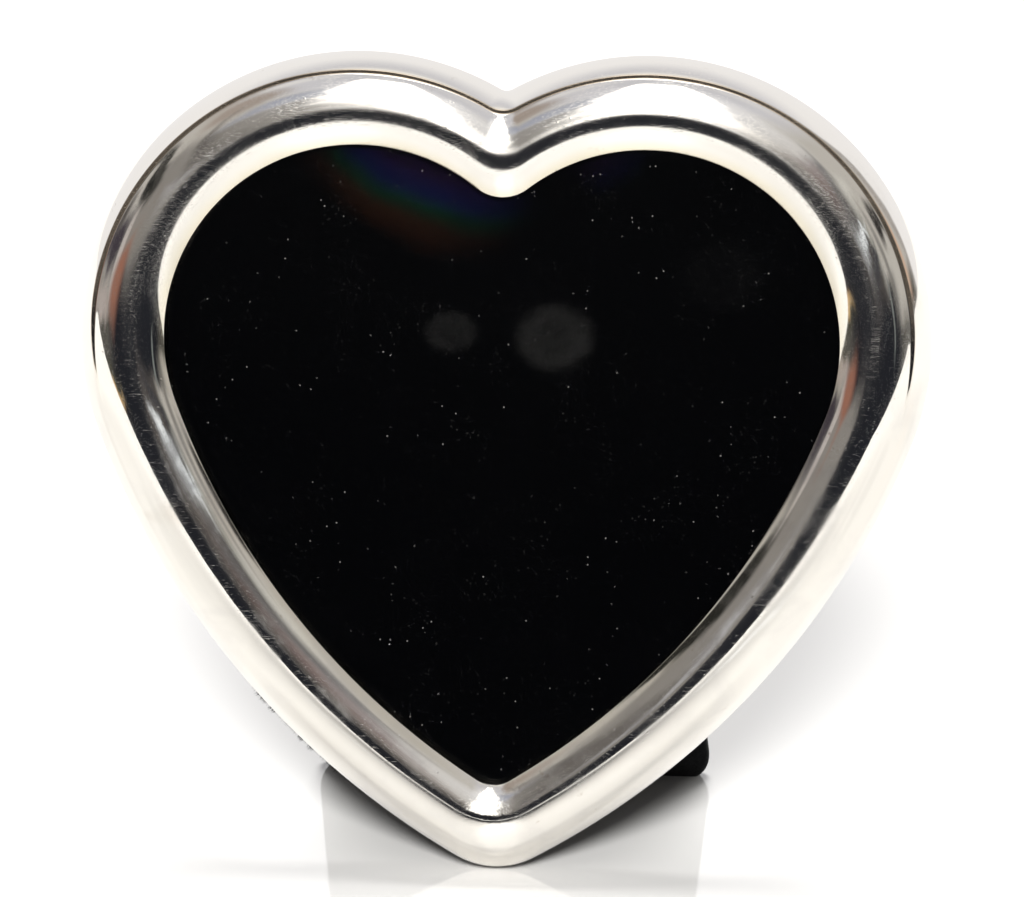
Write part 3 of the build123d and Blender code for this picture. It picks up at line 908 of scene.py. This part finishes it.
# %% Camera
camera_from_tip = Vector((54.2, -648.4, 296.5)) * mm
target_from_tip = Vector((2.15, 11.6, 74.85)) * mm
camera = bpy.data.objects.new("camera", bpy.data.cameras.new("camera"))
scene.collection.objects.link(camera)
scene.camera = camera
camera.data.lens = 140.2
camera.data.sensor_width = 36.0
camera.location = Vector((0, tip_contact.y, 0)) + camera_from_tip
look = target_from_tip - camera_from_tip
camera.rotation_euler = look.to_track_quat("-Z", "Y").to_euler()
print("camera is", round(look.length, 3), "m away")

# %% [markdown]
# ## The table and what stands round it
# The frame stands on a white table whose gloss shows a dim mirror image near its foot, and which is
# dull further away. Silver shows what it reflects, so the world is painted by direction: a white
# sweep behind with a warm light above it, a grey ceiling, the dim room in front with soft shapes in
# it, and before them a bright strip where the key light is. The camera itself sees only a plain
# white backdrop in its place.

# %% Table
half_table, table_shift = 5.0, 4.52
table_mesh = bmesh.new()
bmesh.ops.create_grid(table_mesh, x_segments=1, y_segments=1, size=half_table)
bmesh.ops.translate(table_mesh, vec=(0, table_shift, 0), verts=table_mesh.verts)
table_data = bpy.data.meshes.new("table")
table_mesh.to_mesh(table_data)
table_mesh.free()
table = bpy.data.objects.new("table", table_data)
scene.collection.objects.link(table)
table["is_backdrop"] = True
table_finish, _, place = material("glossy_white_table")
table_tree = table_finish.node_tree
ray = Wire(table_tree).node("LightPath", output="Is Camera Ray")
unseen = mix(mirrored_rays(ray), (0.5, 0.5, 0.5), (0.82, 0.82, 0.82))
shade = mix(ray, unseen, (0.98, 0.98, 0.98))
white = ray.node("BsdfDiffuse", {}, {"Color": shade})
shine = ray.node("BsdfGlossy", {}, {"Color": (0.95, 0.95, 0.95, 1), "Roughness": 0.06})
facing = ray.node("Fresnel", {}, {"IOR": 1.55})
reach = place.node("VectorMath", {"operation": "LENGTH"}, {0: place}, 1)
shine_near, shine_far = 0.12, 0.4
gloss = facing * 1.9 * (1 - step(reach, shine_near, shine_far))
surface = ray.node("MixShader", {}, {0: gloss, 1: white, 2: shine})
table_tree.links.new(surface.socket, table_tree.nodes["Material Output"].inputs["Surface"])
table_data.materials.append(table_finish)
print("the table's near edge is", round(half_table - table_shift, 2), "m before the frame")

# %% [markdown]
# The key light is a lamp in front and above, and a second one hangs almost straight overhead. Both
# are small enough to draw the frame's shadow on the table, and large enough to leave its edge soft.
# The silver doesn't mirror them, because the bright strip painted in the world stands for them.

# %% Key light and overhead light
def lamp(name, energy, width, lamp_side, lamp_rise):
    """A far lamp at so many degrees to the right of the front and so many above the table."""
    made = bpy.data.objects.new(name, bpy.data.lights.new(name, "SUN"))
    scene.collection.objects.link(made)
    made.data.energy = energy
    made.data.color = (1.0, 0.985, 0.955)
    made.data.angle = radians(width)
    made.visible_glossy = False
    turn, climb = radians(lamp_side), radians(lamp_rise)
    towards = Vector((sin(turn) * cos(climb), -cos(turn) * cos(climb), sin(climb)))
    made.rotation_euler = towards.to_track_quat("Z", "Y").to_euler()
    print(name, "lamp is", width, "degrees wide and", lamp_rise, "degrees up")


lamp("key", energy=3.7, width=15, lamp_side=1.5, lamp_rise=37)
lamp("overhead", energy=1.75, width=20, lamp_side=178, lamp_rise=78)

# %% Directions of the world
world = bpy.data.worlds.new("studio")
scene.world = world
world.use_nodes = True
tree = world.node_tree
direction = Wire(tree).node("TexCoord", output="Generated")
warp = direction.node("TexNoise", {}, {"Vector": direction, "Scale": 5.0, "Detail": 3.0}, 1)
warp = warp.node("VectorMath", {"operation": "SUBTRACT"}, {0: warp, 1: (0.5, 0.5, 0.5)})
warp = warp.node("VectorMath", {"operation": "SCALE"}, {0: warp, "Scale": 0.12})
bent = direction.node("VectorMath", {"operation": "ADD"}, {0: direction, 1: warp})
bent = bent.node("VectorMath", {"operation": "NORMALIZE"}, {0: bent})


def angles(vector):
    """Degrees to the right of straight ahead of the frame, and degrees above the horizon."""
    axes = [vector.node("SeparateXYZ", {}, {0: vector}, axis) for axis in range(3)]
    round_angle = axes[0].maths("ARCTAN2", axes[0], 0 - axes[1]) * degrees(1)
    return round_angle, axes[2].maths("ARCSINE", axes[2]) * degrees(1)


side, rise = angles(direction)
loose_side, loose_rise = angles(bent)


# %% Soft shapes in the world
def patch(centre, size, climb=0.0, blur=0.5):
    """A soft ellipse at (side, rise), this wide and tall, that climbs as it goes to the right."""
    across = (loose_side - centre[0]) / size[0]
    up = (loose_rise - centre[1] - (loose_side - centre[0]) * climb) / size[1]
    return 1 - step((across**2 + up**2) ** 0.5, 1 - blur, 1 + blur)


def paint(under, mask, colour):
    return mix(mask, under, colour)


# %% Walls and ceiling
room_side = band(loose_side, -113, 123, 8)
light = mix(step(rise, 34, 60), (0.9, 0.89, 0.905), (0.6, 0.6, 0.65))
light = paint(light, step(rise, 54, 68) * (1 - band(side, -90, 90, 60)), (0.98, 0.95, 0.9))
light = paint(light, room_side * (1 - step(loose_rise, 48, 62)), (0.5, 0.48, 0.455))
left_wall = band(loose_side, -66, 3, 20) * (1 - step(loose_rise, 34, 46))
light = paint(light, left_wall, (0.25, 0.237, 0.225))
light = paint(light, patch((-68, 54), (22, 9)), (0.36, 0.31, 0.28))
light = paint(light, patch((-25, 48), (15, 9), 0.2), (0.34, 0.36, 0.44))
light = paint(light, patch((-28, 26), (26, 3.2), -0.8, 0.7), (0.13, 0.12, 0.115))
slanted = loose_rise - loose_side * 0.75
right_wall = band(loose_side, -4, 42, 10) * (1 - step(slanted, 9, 17))
light = paint(light, right_wall, (0.075, 0.068, 0.066))
light = paint(light, patch((20, 26), (10, 4), 0.7, 0.7), (0.12, 0.07, 0.06))
light = paint(light, room_side * (1 - step(loose_rise, 2, 9)), (0.085, 0.082, 0.075))
below_strip = band(side, -16, 8, 8) * (1 - step(rise, 8.5, 10.5))
light = paint(light, below_strip, (0.025, 0.026, 0.03))
front_rise = loose_rise - abs(loose_side + 4) * 0.17
dark_front = band(loose_side, -48, 62, 20) * (1 - step(front_rise, 3, 8))
light = paint(light, dark_front, (0.016, 0.017, 0.022))
print("painted the walls and the ceiling")

# %% Things in the room
left_only = 1 - step(side, -18, -12)
right_only = step(side, 6, 12)
everywhere = None
# Each row: centre, size, climb, blur, where it may be seen, colour.
things = [
    ((-78, 15), (16, 7), 0.1, 0.5, everywhere, (0.05, 0.042, 0.055)),
    ((-98, 18), (14, 5), 0.25, 0.5, everywhere, (0.07, 0.062, 0.06)),
    ((-72, 31), (20, 5), -0.25, 0.3, everywhere, (0.02, 0.02, 0.018)),
    ((-60, 15), (5, 8), 0.1, 0.3, everywhere, (0.5, 0.465, 0.455)),
    ((-76, 3), (17, 3.5), 0.12, 0.5, everywhere, (0.42, 0.375, 0.36)),
    ((-48, 10), (11, 6), 0.0, 0.5, everywhere, (0.3, 0.14, 0.1)),
    ((-62, -6), (27, 2.0), 0.1, 0.5, everywhere, (0.06, 0.06, 0.045)),
    ((-56, -8), (18, 1.6), 0.16, 0.5, everywhere, (0.62, 0.43, 0.22)),
    ((-100, -5), (12, 3), 0.1, 0.5, everywhere, (0.05, 0.055, 0.11)),
    ((-107, 22), (4, 12), 0.0, 0.5, everywhere, (0.2, 0.16, 0.14)),
    ((-17, 14), (15, 1.4), -0.5, 0.5, left_only, (0.4, 0.4, 0.42)),
    ((42, 27), (5, 9), 0.3, 0.8, everywhere, (0.34, 0.335, 0.31)),
    ((52, 35), (11, 3.2), 0.3, 0.8, everywhere, (0.6, 0.59, 0.56)),
    ((25, 18.5), (17, 1.1), 0.42, 0.5, right_only, (0.85, 0.9, 0.95)),
    ((30, 16), (14, 1.6), 0.42, 0.5, everywhere, (0.05, 0.05, 0.056)),
    ((56, 20), (4, 9), 0.0, 0.8, everywhere, (0.22, 0.21, 0.2)),
    ((46, 8), (2, 7), 0.0, 0.5, everywhere, (0.2, 0.22, 0.22)),
    ((74, 28), (9, 5), 0.1, 0.4, everywhere, (0.03, 0.028, 0.028)),
    ((106, 18), (8, 14), -1.2, 0.5, everywhere, (0.6, 0.42, 0.32)),
    ((104, -3), (18, 6), -0.1, 0.5, everywhere, (0.05, 0.048, 0.045)),
    ((94, 9), (2, 7), 0.0, 0.5, everywhere, (0.9, 0.87, 0.82)),
    ((122, 25), (4, 22), 0.0, 0.5, everywhere, (0.36, 0.34, 0.33)),
]
for centre, size, climb, blur, limit, colour in things:
    shape = patch(centre, size, climb, blur)
    light = paint(light, shape if limit is everywhere else shape * limit, colour)
print("things painted in the room:", len(things))

# %% The bright strip in front
edge_side = side + 4 + (noise(direction, 6.0, 4.0, 0.7) - 0.5) * 12
left_edge = step(edge_side + (rise - 7) * 0.3, -4.0, 3.5)
right_edge = 1 - step(edge_side - (rise - 7) * 0.45, -4.0, 6.0)
strip = left_edge * right_edge * band(rise, 10, 80, 3)
spill = patch((8, 58), (26, 24), 0.0, 0.9)
light = paint(light, spill, (0.85, 0.85, 0.89))
light = paint(light, strip, (1.0, 0.99, 0.98))
seen = direction.node("LightPath", output="Is Camera Ray")
light = paint(light, seen, (0.97, 0.97, 0.97))
fill = 0.24
drawn = fill + mirrored_rays(direction) * (1 - fill)
strength = seen + (1 - seen) * drawn * (1 + strip * 1.3)
world.cycles.sampling_method = "NONE"
background = tree.nodes["Background"]
tree.links.new(light.socket, background.inputs["Color"])
tree.links.new(strength.socket, background.inputs["Strength"])
print("the world has", len(tree.nodes), "nodes")

# %% [markdown]
# ## Sizes
# The box round the dressed model, leaving out the table, is worked out. The dressed model has
# to stay inside the imported one.

# %% The dressed model's box
low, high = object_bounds()
